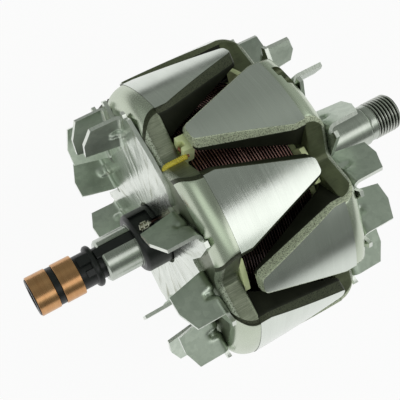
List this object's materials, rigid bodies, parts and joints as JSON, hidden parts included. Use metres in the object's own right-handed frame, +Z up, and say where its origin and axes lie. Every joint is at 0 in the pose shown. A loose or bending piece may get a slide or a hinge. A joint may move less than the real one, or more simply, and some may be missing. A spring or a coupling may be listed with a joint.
{
  "type": "alternator rotor",
  "caption": "Claw-pole rotor of a vehicle alternator: meshed steel poles around a field coil on a shaft, with a sheet steel fan on each face and copper slip rings.",
  "frame": {"origin": "on the shaft's axis, halfway along the overall length, which is also the middle of the poles", "axes": "+X along the shaft toward the threaded drive end, -X toward the slip rings, +Z up"},
  "size_m": [0.166, 0.115, 0.115],
  "materials": {
    "shaft_steel": "ground bearing seats, turned elsewhere",
    "core_iron": "plain turned iron, hidden by the coil",
    "pole_steel": "forged steel, turned on the outside, with dark resin varnish between the fingers",
    "bobbin_plastic": "moulded, pale yellow green",
    "winding_copper": "enamelled round wire, dark red brown",
    "lead_copper": "enamelled wire",
    "sleeve_yellow": "woven insulating sleeve",
    "fan_steel": "zinc plated sheet",
    "black_plastic": "moulded, satin black",
    "terminal_brass": "tinned strip",
    "ring_copper": "turned copper with a worn brush track"
  },
  "bodies": {
    "root": {"shaft": "shaft_steel", "pole_core": "core_iron", "claw_pole_rear": "pole_steel", "claw_pole_front": "pole_steel", "coil_bobbin": "bobbin_plastic", "field_winding": "winding_copper", "lead_wire_a": "lead_copper", "lead_wire_b": "lead_copper", "lead_sleeve_a": "sleeve_yellow", "lead_sleeve_b": "sleeve_yellow", "fan_rear": "fan_steel", "fan_front": "fan_steel", "terminal_hub": "black_plastic", "terminal_a": "terminal_brass", "terminal_b": "terminal_brass", "lead_bar_a": "black_plastic", "lead_bar_b": "black_plastic", "slip_ring_carrier": "black_plastic", "slip_ring_inner": "ring_copper", "slip_ring_outer": "ring_copper"}
  },
  "joints": []
}
